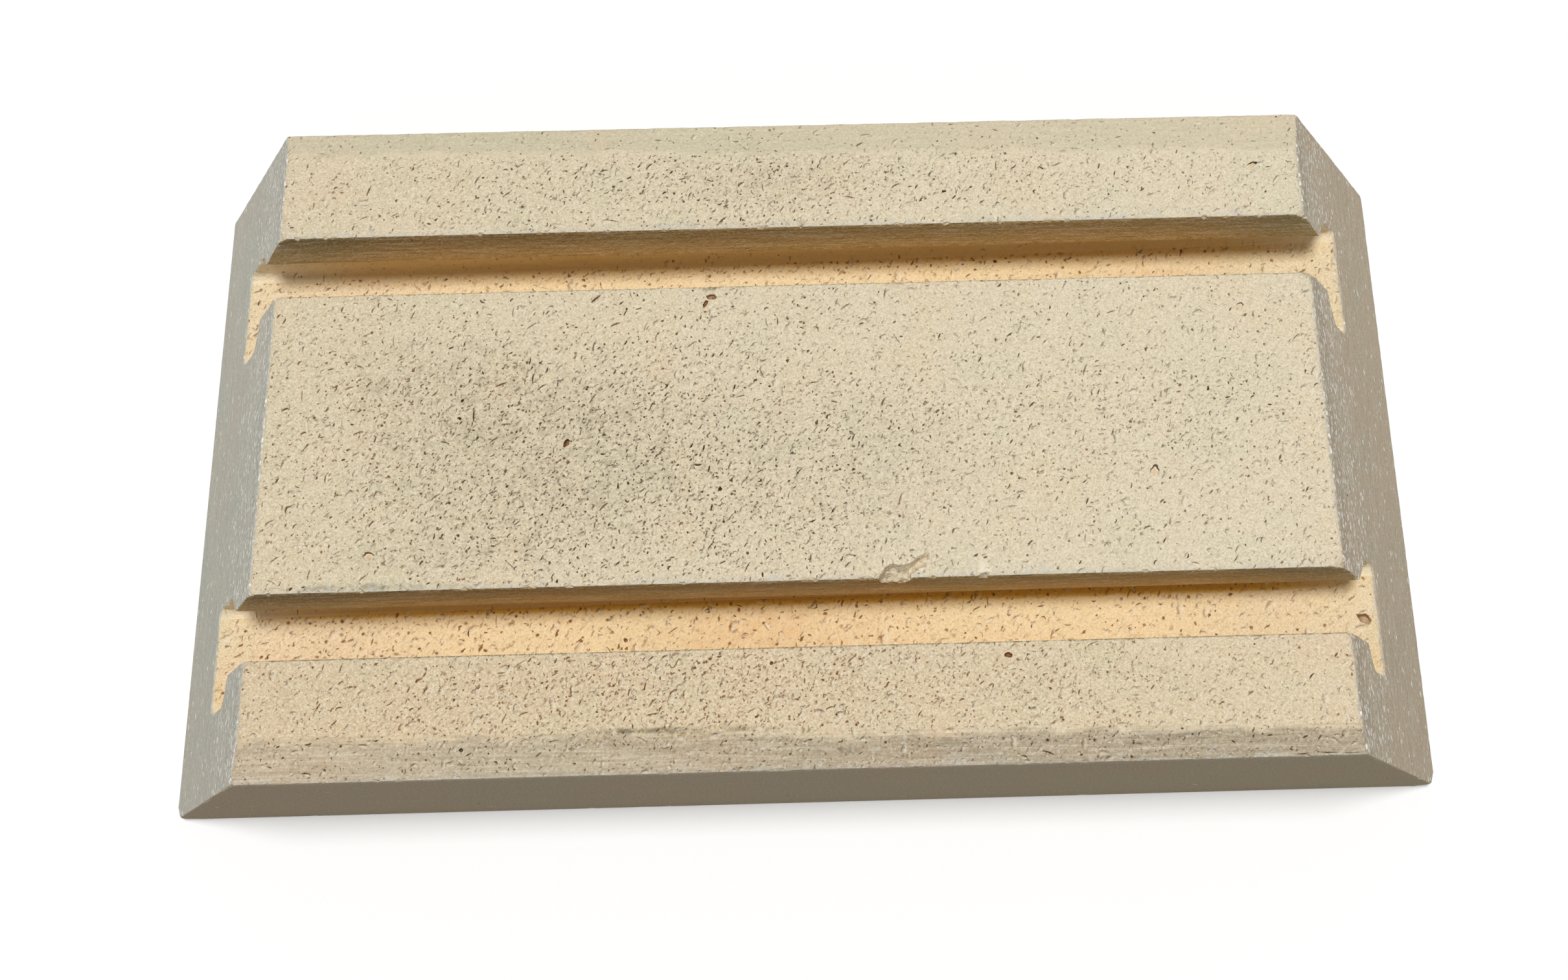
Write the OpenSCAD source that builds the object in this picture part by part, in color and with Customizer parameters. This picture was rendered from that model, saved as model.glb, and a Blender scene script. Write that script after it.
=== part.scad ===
// Slotted insulating fire brick for the wall of a polygonal kiln.
// It lies with its hot face up: X runs along the slots, Y across them, and
// the origin is the middle of the cold face underneath. All sizes are in mm.

/* [Body] */
// Length of the hot face, between the two end faces
hot_face_length = 177.8; // [150:0.1:230]
// Height of the course that the brick fills in the wall, across the slots
course_height = 114.3; // [95:0.1:140]
// Thickness, from the cold face to the hot face
thickness = 36; // [30:0.1:60]
// How far each end face leans out from square, half the corner of the wall
mitre_angle = 30; // [15:0.5:32]

/* [Element slots] */
// Distance between the middles of the two slot mouths
slot_spacing = 63.2; // [52:0.1:76]
// How far the pair of slots sits off the middle of the hot face
slot_offset = -0.6; // [-3:0.1:3]
// Width of each mouth at the hot face
mouth_width = 10.8; // [8:0.1:14]
// Thickness of the lips beside the mouth
lip_thickness = 8.5; // [6:0.1:10]
// How far the lip on the back side of a mouth leans in, at its foot
lip_lean = 0.8; // [0:0.1:1.5]

/* [Channels under the lips] */
// Height of the channel, from the edge of a lip down to the slot floor
channel_height = 8.5; // [7:0.1:12]
// How far the channel reaches in under the lip on its front side
front_undercut = 5.2; // [2.5:0.1:7]
// How far the channel reaches in under the lip on its back side
back_undercut = 2.8; // [2.5:0.1:7]
// Fall of the channel's ceiling away from the mouth
ceiling_angle = 20; // [0:1:25]
// Round between the ceiling and the side of the channel
ceiling_round = 2; // [0.5:0.1:2.2]
// Round between the floor and the side of the channel
floor_round = 1.5; // [0.5:0.1:2]

/* [Bevels] */
// Fall of both bevels from the plane of the hot face
bevel_angle = 12; // [5:0.5:25]
// Width of the front bevel at the left end of the hot face
front_bevel_left = 7.2; // [3:0.1:10]
// Width of the front bevel at the right end of the hot face
front_bevel_right = 4.9; // [3:0.1:10]
// Width of the back bevel at the left end of the hot face
back_bevel_left = 5; // [3:0.1:10]
// Width of the back bevel at the right end of the hot face
back_bevel_right = 8.5; // [3:0.1:10]

/* [Hidden] */
$fn = 64;
// How far each cutting shape runs past the brick
clear = 10;
// How far one shape runs into the next where they would only just touch
hair = 0.01;
// Depth of the slot floor below the hot face
slot_depth = lip_thickness + channel_height;
mitre_run = thickness * tan(mitre_angle);
cold_face_length = hot_face_length + 2 * mitre_run;
cut_length = cold_face_length + 2 * clear;

// The blank: a trapezoid seen from the front, square to its bed faces
module blank() {
    hot = hot_face_length / 2;
    cold = cold_face_length / 2;
    translate([0, course_height / 2, 0])
        rotate([90, 0, 0])
            linear_extrude(height = course_height)
                polygon([[-cold, 0], [cold, 0], [hot, thickness], [-hot, thickness]]);
}

// Half of the channel, from the middle of the mouth out under one lip. The
// ceiling ends a hair inside its round, so the two meet in one clean edge.
module channel_half(undercut, lean) {
    reach = mouth_width / 2 + undercut;
    foot = mouth_width / 2 - lean;
    inside = ceiling_round - hair;
    ceiling_x = reach - ceiling_round;
    ceiling_y = -lip_thickness
        - (ceiling_round + (ceiling_x - foot) * sin(ceiling_angle)) / cos(ceiling_angle);
    floor_x = reach - floor_round;
    floor_y = floor_round - slot_depth;
    polygon([
        [0, -lip_thickness],
        [foot, -lip_thickness],
        [ceiling_x + inside * sin(ceiling_angle), ceiling_y + inside * cos(ceiling_angle)],
        [ceiling_x, ceiling_y],
        [reach, ceiling_y],
        [reach, floor_y],
        [floor_x, floor_y],
        [floor_x, -slot_depth],
        [0, -slot_depth]
    ]);
    translate([ceiling_x, ceiling_y]) circle(r = ceiling_round);
    translate([floor_x, floor_y]) circle(r = floor_round);
}

// Section of one slot, with the hot face at height 0
module slot_section() {
    front = -mouth_width / 2;
    back = mouth_width / 2;
    polygon([
        [front, -slot_depth],
        [back - lip_lean, -slot_depth],
        [back - lip_lean, -lip_thickness],
        [back, 0],
        [back, clear],
        [front, clear]
    ]);
    channel_half(back_undercut, lip_lean);
    mirror([1, 0]) channel_half(front_undercut, 0);
}

// One slot, which runs out through both end faces
module slot_cut() {
    translate([-cut_length / 2, 0, thickness])
        rotate([90, 0, 90])
            linear_extrude(height = cut_length)
                slot_section();
}

// Everything above the plane of one bevel on the front edge
module bevel_cut(left_width, right_width) {
    swing = atan((right_width - left_width) / hot_face_length);
    middle = (left_width + right_width) / 2 - course_height / 2;
    translate([0, middle, thickness])
        rotate([0, 0, swing])
            rotate([bevel_angle, 0, 0])
                translate([-cut_length / 2, -2 * clear, 0])
                    cube([cut_length, 2 * clear, clear]);
}

module fire_brick() {
    color([0.82, 0.75, 0.64])
        difference() {
            blank();
            for (side = [-1, 1])
                translate([0, slot_offset + side * slot_spacing / 2, 0]) slot_cut();
            bevel_cut(front_bevel_left, front_bevel_right);
            mirror([0, 1, 0]) bevel_cut(back_bevel_left, back_bevel_right);
        }
}

fire_brick();
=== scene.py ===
import math
import random
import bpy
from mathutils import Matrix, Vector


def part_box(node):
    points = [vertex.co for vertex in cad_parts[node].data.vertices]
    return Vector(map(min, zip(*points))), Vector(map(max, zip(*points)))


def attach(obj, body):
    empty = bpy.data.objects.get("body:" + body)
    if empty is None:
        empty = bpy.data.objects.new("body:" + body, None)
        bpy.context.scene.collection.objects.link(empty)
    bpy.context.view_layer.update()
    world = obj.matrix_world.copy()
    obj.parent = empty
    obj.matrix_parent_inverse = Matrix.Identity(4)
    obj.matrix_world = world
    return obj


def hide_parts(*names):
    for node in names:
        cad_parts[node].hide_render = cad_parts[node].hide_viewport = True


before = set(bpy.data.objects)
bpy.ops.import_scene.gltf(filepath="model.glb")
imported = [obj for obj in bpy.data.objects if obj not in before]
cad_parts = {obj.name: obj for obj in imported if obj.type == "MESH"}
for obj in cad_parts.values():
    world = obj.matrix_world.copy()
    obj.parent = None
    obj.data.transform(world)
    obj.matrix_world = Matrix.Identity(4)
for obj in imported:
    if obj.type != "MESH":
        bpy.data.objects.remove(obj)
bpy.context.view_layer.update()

from types import SimpleNamespace

import bpy
from mathutils import Vector, noise
from mathutils.geometry import delaunay_2d_cdt

mm = 0.001  # the brick is laid out in millimetres and written to the mesh in metres
dice = random.Random(11)

# The brick as it was cut. X runs along the slots, the front is at -Y and the hot face is up.
low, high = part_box("fire_brick")
brick = {
    "course": (high[1] - low[1]) / mm,  # across the slots
    "thickness": (high[2] - low[2]) / mm,
    "coldLength": (high[0] - low[0]) / mm,
    "mitre": 30,  # lean of both end faces
    "slotMiddles": (-32.2, 31.0),
    "mouthWidth": 10.8,
    "ceilingFall": (20, 42),  # slope of the channel's ceiling under the front lip and the back lip
    "ceilingRound": 2.0,
    "floorRound": 1.5,
    "bevelFall": 12,
    "frontBevel": (7.2, 4.9),  # width at the left end and at the right end
    "backBevel": (5.0, 8.5),
    "roundSteps": 4,
}
brick["hotLength"] = brick["coldLength"] - 2 * brick["thickness"] * math.tan(math.radians(brick["mitre"]))

# The two slots, front one first. Each size is given at the left end and at the right end: depth, thickness of
# the front lip and the back lip, reach of the channel under each, and lean of the back lip at its foot.
slots = [
    {"depth": (18.1, 15.1), "lips": ((9.4, 8.2), (8.1, 7.2)), "reach": ((4.9, 4.3), (2.2, 3.7)),
     "lean": (0.7, 0.6)},
    {"depth": (17.9, 15.7), "lips": ((9.0, 8.2), (8.2, 7.2)), "reach": ((5.4, 5.6), (1.4, 3.2)),
     "lean": (1.1, 1.0)},
]

# How the mesh is laid over it
weave = {
    "fineStep": 0.6,  # points along the arrises of the hot face and the lips
    "coarseStep": 1.6,  # points along the other arrises
    "hiddenStep": 3.0,  # points along the inner corners of the slots
    "endStep": 1.0,  # points down the end faces' outlines
    "chipStep": 0.3,  # points in and beside a chip
    "chipBand": 1.5,  # how far down from the hot face those points go
    "guard": 0.45,  # width of the strip beside an arris that its wear may use
    "spacing": 2.8,  # points on the open faces
    "cell": 0.3,  # grid that keeps marks apart
    "margin": 0.1,  # clear clay round a mark
    "edgeRoom": 0.2,  # least room between that and an arris
    "crisp": 28,  # degrees, edges bent further than this are not shaded smooth
}

# Marks in a plain face: how many in a square millimetre, how deep, which way they run and how they bend.
# Below it is what is different on each kind of face.
plainMarks = {"slit": 0.02, "dot": 0.02, "scoop": 0.0, "ring": 0.0, "pit": 0.0,
              "depth": 1.0, "turn": 0, "spread": 30, "bend": 0.12}
marks = {
    "hot": {"slit": 0.18, "dot": 0.14, "scoop": 0.12, "ring": 0.06, "pit": 0.001, "turn": 50},
    "frontBevel": {"slit": 0.10, "dot": 0.08, "scoop": 0.06, "ring": 0.006, "pit": 0.001, "turn": 10},
    "backBevel": {"slit": 0.08, "dot": 0.06, "scoop": 0.04, "depth": 0.8, "turn": 10},
    "wall": {"depth": 0.6, "spread": 20, "bend": 0.1},
    "floor": {"slit": 0.13, "dot": 0.10, "scoop": 0.08, "ring": 0.02, "pit": 0.002, "turn": 60,
              "spread": 50, "bend": 0.35},
    "channel": {"depth": 0.8, "spread": 40, "bend": 0.2},
    "bed": {"slit": 0.01, "dot": 0.01, "scoop": 0.006, "pit": 0.0006, "depth": 0.4, "bend": 0.1},
    "end": {"slit": 0.01, "dot": 0.008, "scoop": 0.006, "pit": 0.0003, "depth": 0.5, "spread": 20,
            "bend": 0.1},
    "cold": {"slit": 0.01, "dot": 0.012, "scoop": 0.005, "pit": 0.0008, "turn": 30, "spread": 60,
             "bend": 0.2},
}
kinds = list(marks)
slit = {"length": (0.6, 1.8), "width": (0.22, 0.44), "depth": (0.15, 0.45)}
dot = {"radius": 0.17, "more": 0.2, "depth": (0.15, 0.45)}
scoop = {"length": (0.7, 2.6), "width": (0.45, 1.0), "depth": (0.12, 0.32)}
ring = {"radius": (0.35, 0.8), "depth": (0.08, 0.2)}
pit = {"radius": (0.24, 0.42), "depth": (0.4, 0.8)}
# how dark each kind of mark is painted in its hollow, painted shade with dirt; a pale tone is a painted
# highlight
tones = {"slit": 1.0, "dot": 0.95, "scoop": 0.9, "ring": 0.6, "pit": 0.9, "pale": -0.9}

# Pits and cracks that stand out: face, place, length, width, turn, depth. Rusty ones are brown all through,
# brown ones only tinged, darker to the back in painted shade, and hollow ones pale inside with a brown back
# rim of painted shadow.
bigPits = [
    ("hot", (-14.2, 23.6), 1.9, 1.1, 0, 0.5, "brown"),
    ("hot", (-15.2, 22.4), 1.5, 0.7, 60, 0.5, "rusty"),
    ("hot", (-38.2, -2.1), 1.6, 1.0, 70, 0.9, "rusty"),
    ("hot", (-69.9, -20.8), 2.0, 1.4, -10, 0.5, "hollow"),
    ("hot", (80.5, 46.2), 2.5, 1.1, 30, 0.4, "hollow"),
    ("hot", (20.1, 51.0), 1.5, 1.1, 30, 0.4, "hollow"),
    ("hot", (76.1, 19.7), 1.6, 1.1, 25, 0.4, "hollow"),
    ("hot", (26.4, 42.6), 0.9, 0.5, 10, 0.9, "dark"),
    ("hot", (33.5, -39.9), 1.4, 0.9, 0, 0.9, "rusty"),
    ("hot", (59.3, -9.7), 2.4, 1.5, 80, 0.4, "hollow"),
    ("floor", (95.2, -32.0), 3.0, 1.7, -32, 0.7, "brown"),
    ("frontBevel", (86.9, -56.75), 3.2, 0.12, 0, 0.5, "crack"),
    ("frontBevel", (83.2, -56.6), 3.6, 0.14, -3, 0.5, "crack"),
    ("frontBevel", (79.2, -56.7), 2.6, 0.12, 4, 0.4, "crack"),
]

# Chips off the hot face's arrises, each as its outline from above, which runs past the arris that broke
# Along each chip's lip runs a painted highlight, and painted shade lies along its back rim
chips = [
    {"outline": [(12.9, -28.5), (13.1, -27.0), (13.4, -26.1), (14.3, -25.0), (15.5, -24.3), (16.4, -24.7),
                 (17.5, -24.7), (18.3, -24.4), (19.2, -23.7), (20.1, -23.2), (21.6, -22.7), (21.4, -23.5),
                 (20.6, -24.8), (19.5, -25.3), (18.8, -25.7), (18.4, -26.3), (18.3, -28.5)],
     "depth": 2.6, "back": -23.5, "lip": [(18.3, -26.7), (18.7, -25.8), (20.5, -24.9), (21.3, -23.6)]},
    {"outline": [(29.2, -27.8), (29.3, -26.8), (29.6, -26.4), (30.3, -26.0), (30.8, -26.1), (31.3, -27.8)],
     "depth": 1.2, "back": -25.9, "lip": [(29.5, -26.3), (30.3, -25.8), (31.0, -26.1)]},
]
nicks = {"apart": 16, "width": (0.5, 1.5), "reach": (0.25, 0.7), "depth": (0.25, 0.6)}
chipReach = 6.0  # how far down the side faces follow a chip

# Corners of the bars that are knocked round: place, how far round, how deep
knocks = [
    ((88.9, -26.8), 1.9, 1.1),
    ((88.9, 25.6), 1.6, 0.9),
    ((88.9, -37.6), 1.5, 0.8),
    ((88.9, 36.4), 1.5, 0.8),
    ((-88.9, -26.8), 1.2, 0.6),
    ((-88.9, 25.6), 1.2, 0.6),
    ((-88.9, -37.6), 1.3, 0.6),
    ((-88.9, 36.4), 1.2, 0.6),
    ((88.9, -52.2), 1.0, 0.4),
    ((-88.9, -49.9), 1.0, 0.4),
]

# Bottom corners that have broken off: which end and which bed face, how much along X, Y and Z
brokenCorners = [
    ((-1, -1), (1.6, 2.3, 12.0)),
    ((-1, -1), (5.8, 0.5, 1.6)),
    ((1, -1), (3.9, 2.6, 3.4)),
]

# How far each kind of arris is worn back
arrisWear = {"cold": 0.35, "bed": 0.12, "hot": 0.04, "mouth": 0.12, "end": 0.14}

# Patches seen from above: middle, reach along X and Y, strength. First where the marks lie thicker.
busy = [
    ((-35, -3), (62, 24), 0.55),
    ((50, 0), (50, 16), 0.3),
    ((-20, -18), (60, 10), 0.2),
    ((0, 46), (85, 10), 0.3),
    ((-5, -44), (75, 12), 0.8),
]
# where the slot floors burned more orange
blooms = [((-8, -31), (26, 9), 0.4), ((60, 30), (30, 8), 0.3)]
# short hard rubs along the front arrises
scuffs = [
    ((-26, -50.5), (9, 0.7), 1.0),
    ((-8, -50.8), (7, 0.5), 0.6),
    ((6, -54.2), (6, 0.8), 0.6),
    ((24, -53.6), (5, 1.0), 0.6),
    ((-72, -26.0), (14, 0.7), 0.7),
]
# dirt rubbed into the hot face and its bevels
grime = [
    ((-40, -4), (38, 22), 0.8),
    ((-64, 10), (22, 14), 0.5),
    ((10, -6), (30, 18), 0.5),
    ((-5, 46), (26, 9), 0.6),
    ((-60, -21), (22, 5), 0.4),
    ((-62, -26.2), (26, 1.0), 0.8),
    ((-20, -50.6), (19, 0.9), 1.2),
    ((26, -55), (9, 1.6), 0.9),
    ((58, -53.4), (12, 1.3), 0.7),
    ((-40, 26.2), (30, 0.9), 0.5),
    ((-10, 37.3), (40, 0.9), 0.5),
]


def smooth(t):
    t = min(max(t, 0.0), 1.0)
    return t * t * (3 - 2 * t)


def between(span):
    return dice.uniform(*span)


def loop(count, first=0):
    # the edges round a closed run of points
    return [(first + i, first + (i + 1) % count) for i in range(count)]


def corner(left, right, kind, wear=0.0, fine=False, rubAndSheen=0.0):
    # kind names the face that follows this corner, wear is how far its arris is worn back, and rub above zero
    # pales it with wear and a painted highlight, below zero soils it
    return {"left": left, "right": right, "kind": kind, "wear": wear, "fine": fine, "rubAndSheen": rubAndSheen}


def rounded(middle, radius, first, last):
    # points round a corner of the channel
    points = []
    for i in range(brick["roundSteps"] + 1):
        a = first + (last - first) * i / brick["roundSteps"]
        points.append((middle[0] + radius * math.cos(a), middle[1] + radius * math.sin(a), "channel"))
    return points


def halfSlot(slot, side, end):
    # out from the middle of the mouth and down from the hot face, ending on the slot floor
    mouth = brick["mouthWidth"] / 2
    foot = mouth - slot["lean"][end] * side
    lip = slot["lips"][side][end]
    reach = mouth + slot["reach"][side][end]
    depth = slot["depth"][end]
    fall = math.radians(brick["ceilingFall"][side])
    big, small = brick["ceilingRound"], brick["floorRound"]
    run = reach - big - foot
    ceiling = (reach - big, lip + (big + run * math.sin(fall)) / math.cos(fall))
    points = [(mouth, 0, "wall"), (foot, lip, "channel")]
    points += rounded(ceiling, big, fall - math.pi / 2, 0)
    points += rounded((reach - small, depth - small), small, 0, math.pi / 2)
    return points


def slotCorners(middle, slot):
    top = brick["thickness"]
    corners = []
    for side, way in ((0, -1), (1, 1)):
        halves = list(zip(halfSlot(slot, side, 0), halfSlot(slot, side, 1)))
        for i, (left, right) in enumerate(halves):
            kind = left[2]
            if side == 0 and i == len(halves) - 1:
                kind = "floor"
            if side == 1:
                kind = {0: "hot", 1: "wall"}.get(i, "channel")
            ends = [(middle + way * out, top - down) for out, down, _ in (left, right)]
            # the front arrises of the bars behind a slot go pale with wear and a painted highlight, the back
            # arrises of the bars before it soiled
            rubAndSheen = (-0.7, 0.8)[side] if i == 0 else 0.0
            line = corner(*ends, kind, wear=arrisWear["mouth"] if i < 2 else 0.0, fine=i < 2, rubAndSheen=rubAndSheen)
            corners.insert(len(halves) if side else len(corners), line)
    return corners


def sectionCorners():
    # every long edge of the brick, in order round its section
    top, half = brick["thickness"], brick["course"] / 2
    slope = math.tan(math.radians(brick["bevelFall"]))
    front, back = brick["frontBevel"], brick["backBevel"]
    corners = [
        corner((-half, 0), (-half, 0), "bed", wear=arrisWear["cold"]),
        # pale along the bevel's lower arris, wear with a painted highlight
        corner((-half, top - front[0] * slope), (-half, top - front[1] * slope), "frontBevel",
               wear=arrisWear["bed"], fine=True, rubAndSheen=0.6),
        corner((front[0] - half, top), (front[1] - half, top), "hot", wear=arrisWear["hot"], fine=True),
    ]
    for middle, slot in zip(brick["slotMiddles"], slots):
        corners += slotCorners(middle, slot)
    corners += [
        corner((half - back[0], top), (half - back[1], top), "backBevel", wear=arrisWear["hot"], fine=True),
        corner((half, top - back[0] * slope), (half, top - back[1] * slope), "bed", wear=arrisWear["bed"]),
        corner((half, 0), (half, 0), "cold", wear=arrisWear["cold"]),
    ]
    return corners


def lineAt(line, x):
    t = 0.5 + x / brick["hotLength"]
    (y0, z0), (y1, z1) = line["left"], line["right"]
    return Vector((x, y0 + (y1 - y0) * t, z0 + (z1 - z0) * t))


def endX(z):
    return brick["hotLength"] / 2 + (brick["thickness"] - z) * math.tan(math.radians(brick["mitre"]))


def endOf(line, side):
    x = side * endX(lineAt(line, 0).z)
    for _ in range(4):
        x = side * endX(lineAt(line, x).z)
    return lineAt(line, x)


def addNicks():
    # small chips strewn along the front arrises of the middle and back bars, clear of the ones above
    spans = [(chip["outline"][0][0] - 2, chip["outline"][-1][0] + 2) for chip in chips]
    half = brick["hotLength"] / 2
    for middle in brick["slotMiddles"]:
        y = middle + brick["mouthWidth"] / 2
        x = -half + 3
        while x < half - 3:
            wide, back = between(nicks["width"]) / 2, between(nicks["reach"])
            if y > 0 or not any(left < x < right for left, right in spans):
                outline = [(x - 1.2 * wide, y - 0.6), (x - wide, y + 0.05), (x - 0.4 * wide, y + back),
                           (x + 0.3 * wide, y + 0.8 * back), (x + wide, y + 0.05), (x + 1.2 * wide, y - 0.6)]
                depth = between(nicks["depth"])
                chips.append({"outline": outline, "depth": depth, "back": y + back, "lip": []})
            x += nicks["apart"] * dice.uniform(0.3, 1.7)


def toLine(x, y, a, b):
    # distance from a point to the straight line between two others
    ux, uy = b[0] - a[0], b[1] - a[1]
    t = ((x - a[0]) * ux + (y - a[1]) * uy) / (ux * ux + uy * uy)
    t = min(max(t, 0.0), 1.0)
    return math.hypot(a[0] + ux * t - x, a[1] + uy * t - y)


def room(point, outline):
    # distance in from the outline, below zero outside it
    x, y = point
    inside, best = False, 1e9
    for i, b in enumerate(outline):
        a = outline[i - 1]
        if (a[1] > y) != (b[1] > y) and x < (b[0] - a[0]) * (y - a[1]) / (b[1] - a[1]) + a[0]:
            inside = not inside
        best = min(best, toLine(x, y, a, b))
    return best if inside else -best


def spanOf(outline):
    # least and most of X, then of Y
    return [(min(values), max(values)) for values in zip(*outline)]


def beyondBreak(point, side, size):
    # how far a point stands out past the break across a bottom corner
    inX = side[0] * (side[0] * brick["coldLength"] / 2 - point.x)
    inY = side[1] * (side[1] * brick["course"] / 2 - point.y)
    slope = Vector((side[0] / size[0], side[1] / size[1], -1 / size[2]))
    return (1 - inX / size[0] - inY / size[1] - point.z / size[2]) / slope.length, slope.normalized()


def nearChip(point, more=0.0):
    # True in or beside a chip, a knocked corner or a broken one
    if any(beyondBreak(point, *broken)[0] > -more for broken in brokenCorners):
        return True
    if point.z < brick["thickness"] - weave["chipBand"]:
        return False
    for chip in chips:
        (left, right), (front, back) = spanOf(chip["outline"])
        if not (left - more < point.x < right + more and front - more < point.y < back + more):
            continue
        if room(point[:2], chip["outline"]) > -more:
            return True
    return any(math.hypot(point.x - x, point.y - y) < around + more for (x, y), around, _ in knocks)


# Everything the mesh is made from. Points on an arris are shared by the faces that meet there.
skin = {"points": [], "normals": [], "wear": [], "pit": [], "rubAndSheen": [], "faces": [], "kinds": [], "uvs": []}
sheet = {"heights": [0.0, 0.0], "column": 224.0, "gap": 2.0}  # where each face lies in the flat unwrap


def newPoint(at, pit=0.0, wear=0.0, rubAndSheen=0.0):
    for name, value in (("points", at), ("normals", []), ("pit", pit), ("wear", wear), ("rubAndSheen", rubAndSheen)):
        skin[name].append(value)
    return len(skin["points"]) - 1


def pointsAlong(first, last, step, wear, rubAndSheen=0.0):
    # from one point to another with both of them, closer together beside a chip
    a, b = skin["points"][first], skin["points"][last]
    length = (b - a).length
    run, gone = [first], 0.0
    while True:
        stride = min(step, weave["chipStep"]) if nearChip(a.lerp(b, gone / length), 1.0) else step
        gone += stride * dice.uniform(0.75, 1.25)
        if gone > length - 0.6 * stride:
            break
        run.append(newPoint(a.lerp(b, gone / length), wear=wear, rubAndSheen=rubAndSheen))
    return run + [last]


def turned(middle, u, v, angle):
    c, s = math.cos(angle), math.sin(angle)
    return (middle[0] + u * c - v * s, middle[1] + u * s + v * c)


def placed(middle, angle, rim, deep, edges, cover):
    # a mark drawn round its own middle is put where it belongs
    margin = weave["margin"]
    return {
        "rim": [turned(middle, u, v, angle) for u, v in rim],
        "deep": [turned(middle, u, v, angle) + (depth, tone) for u, v, depth, tone in deep],
        "edges": edges,
        "cover": [turned(middle, u, v, angle) + (r + margin,) for u, v, r in cover],
    }


def oval(count, length, width, swell, turn=0.0):
    # points round it, each a little nearer or further out
    rim = []
    for i in range(count):
        a, r = turn + 2 * math.pi * i / count, between(swell) / 2
        rim.append((r * length * math.cos(a), r * width * math.sin(a)))
    return rim


def toned(shape, depth):
    # deeper marks are painted darker, painted shade with dirt
    return tones[shape] * min(1.0, 0.25 + depth / 0.4)


def slitMark(middle, length, width, angle, depth, bend):
    spine = [(t * length / 2, bend * length * (t * t - 0.4)) for t in (-1, -0.5, 0, 0.5, 1)]
    half = [0, 0.8 * width / 2, width / 2, 0.8 * width / 2, 0]
    under = [(u, v - h) for (u, v), h in zip(spine, half)]
    over = [(u, v + h) for (u, v), h in zip(spine, half)]
    rim = under + over[3:0:-1]
    deep = [(u, v, depth * d, toned("slit", depth)) for (u, v), d in zip(spine[1:4], (0.75, 1, 0.75))]
    cover = [(u, v, width / 2) for u, v in spine]
    cover += [((a[0] + b[0]) / 2, (a[1] + b[1]) / 2, width / 2) for a, b in zip(spine, spine[1:])]
    return placed(middle, angle, rim, deep, [(0, 1), (1, 2)], cover)


def dotMark(middle, radius, depth):
    rim = oval(6, 2 * radius, 2 * radius, (0.8, 1.2), turn=dice.uniform(0, 1))
    reach = 1.3 * radius - weave["margin"]
    return placed(middle, 0, rim, [(0, 0, depth, toned("dot", depth))], [], [(0, 0, reach)])


def scoopMark(middle, length, width, angle, depth):
    # steep under its back rim and rising gently to its front rim, with painted shade under the back rim and a
    # painted highlight on its floor
    rim = oval(10, length, width, (0.88, 1.12))
    deep = []
    for (u, v), d in zip(rim, (0.3, 0.8, 1, 1, 0.8, 0.3)):
        deep.append((u * 0.8, v * 0.62 - 0.02 * width, depth * d, toned("scoop", depth) * d))
    for u in (0.5, 0.0, -0.5):
        deep.append((u * length / 2, -0.12 * width, depth * 0.6, tones["pale"] * dice.uniform(0.3, 1)))
    cover = [(t * length / 2, 0, width / 2) for t in (-0.8, -0.3, 0.3, 0.8)]
    return placed(middle, angle, rim, deep, [(i, i + 1) for i in range(5)], cover)


def ringMark(middle, radius, angle, depth):
    rim = oval(10, 2 * radius, 2 * radius * dice.uniform(0.55, 0.95), (0.92, 1.08))
    deep = []
    for i, (u, v) in enumerate(rim):
        # painted shade darkens the back of the ring as well as its depth
        back = 0.65 + 0.35 * math.sin(i * math.pi / 5 + angle)  # deeper at the back
        deep.append((u * 0.82, v * 0.82, depth * back, toned("ring", depth) * back))
    # a painted highlight in the middle
    deep.append((0, 0, 0, tones["pale"] * dice.uniform(0.3, 1)))
    return placed(middle, angle, rim, deep, loop(10), [(0, 0, radius)])


def pitMark(middle, length, width, angle, depth, finish="dark"):
    # a tone above 1 is rusty and one below -1 is blushed
    count = 14
    rim = oval(count, length, width, (0.8, 1.15))
    deep = []

    # the back rim is painted darker, painted shade, and a hollow pit's front rim paler, a painted highlight
    def toBack(u, v):
        return 0.5 + 0.5 * (u * math.sin(angle) + v * math.cos(angle)) / math.hypot(u, v)

    for u, v in rim:
        back = toBack(u, v)
        tone = {"dark": tones["pit"], "rusty": 1.3 + 0.5 * (1 - back), "hollow": 2.6 * back - 0.9,
                "brown": 0.3 + 0.7 * back}[finish]
        deep.append((u * 0.84, v * 0.84, depth * (0.25 + 0.5 * back), tone))
    for i in range(count // 2):
        a = i * 4 * math.pi / count
        u, v = length / 4 * math.cos(a), width / 4 * math.sin(a)
        tone = {"dark": 0.4 + 0.6 * toBack(u, v), "rusty": 1.9, "hollow": -1.9, "brown": 0.42}[finish]
        deep.append((u, v, depth * dice.uniform(0.7, 1), tone))
    return placed(middle, angle, rim, deep, loop(count), [(0, 0, max(length, width) * 0.58)])


def someMark(shape, middle, look):
    angle = math.radians(dice.gauss(look["turn"], look["spread"]))
    faint = look["depth"] * (0.45 + 0.55 * dice.random() ** 1.5)
    if shape == "slit":
        size = dice.random() ** 1.7  # mostly short ones
        length = slit["length"][0] + size * (slit["length"][1] - slit["length"][0])
        return slitMark(middle, length, between(slit["width"]), angle, faint * between(slit["depth"]),
                        dice.gauss(0, look["bend"]))
    if shape == "dot":
        radius = dot["radius"] + dice.random() ** 2 * dot["more"]
        return dotMark(middle, radius, faint * between(dot["depth"]))
    if shape == "scoop":
        return scoopMark(middle, between(scoop["length"]), between(scoop["width"]), angle,
                         faint * between(scoop["depth"]))
    if shape == "ring":
        return ringMark(middle, between(ring["radius"]), angle, faint * between(ring["depth"]))
    return pitMark(middle, 2 * between(pit["radius"]), 2 * between(pit["radius"]), angle,
                   look["depth"] * between(pit["depth"]))


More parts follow.
